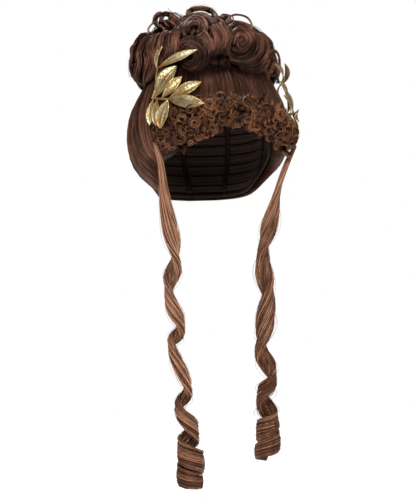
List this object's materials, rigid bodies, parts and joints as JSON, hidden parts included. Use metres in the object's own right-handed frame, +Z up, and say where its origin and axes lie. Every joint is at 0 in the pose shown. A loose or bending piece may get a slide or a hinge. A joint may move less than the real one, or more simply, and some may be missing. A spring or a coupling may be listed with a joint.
{
  "type": "long wig",
  "caption": "Swept-up wig with a crown of pinned curls, a curled fringe, two long hanging side ringlets and a metal leaf spray over each temple.",
  "frame": {"origin": "inside of the cap at the crown, where it sits on the top of the head", "axes": "+Z up, -Y towards the face, +X towards the wearer's left"},
  "size_m": [0.2076, 0.2494, 0.5967],
  "materials": {
    "hair": "glossy chestnut-brown fibre",
    "cap_net": "matt dark-brown net with sewn rows",
    "gold_leaf": "polished pale gold, ribbed"
  },
  "bodies": {
    "root": {"bun_curl_01": "hair", "bun_curl_02": "hair", "bun_curl_03": "hair", "bun_curl_04": "hair", "bun_curl_05": "hair", "bun_curl_06": "hair", "bun_curl_07": "hair", "bun_curl_08": "hair", "bun_curl_09": "hair", "bun_curl_10": "hair", "bun_curl_11": "hair", "bun_curl_12": "hair", "bun_curl_13": "hair", "bun_curl_14": "hair", "bun_curl_15": "hair", "bun_curl_16": "hair", "bun_curl_17": "hair", "bun_curl_18": "hair", "bun_curl_19": "hair", "bun_curl_20": "hair", "bun_curl_21": "hair", "bun_curl_22": "hair", "bun_curl_23": "hair", "bun_curl_24": "hair", "bun_curl_25": "hair", "bun_curl_26": "hair", "bun_curl_27": "hair", "bun_lock_01": "hair", "bun_lock_02": "hair", "bun_lock_03": "hair", "bun_lock_04": "hair", "bun_lock_05": "hair", "bun_lock_06": "hair", "bun_lock_07": "hair", "bun_lock_08": "hair", "bun_lock_09": "hair", "bun_lock_10": "hair", "bun_loop_01": "hair", "bun_loop_02": "hair", "bun_loop_03": "hair", "bun_pad": "hair", "fringe_band": "hair", "fringe_curl_01": "hair", "fringe_curl_02": "hair", "fringe_curl_03": "hair", "fringe_curl_04": "hair", "fringe_curl_05": "hair", "fringe_curl_06": "hair", "fringe_curl_07": "hair", "leaf_spray_left": "gold_leaf", "leaf_spray_right": "gold_leaf", "ringlet_left": "hair", "ringlet_right": "hair", "swept_hair": "hair", "wig_cap": "cap_net"}
  },
  "joints": []
}
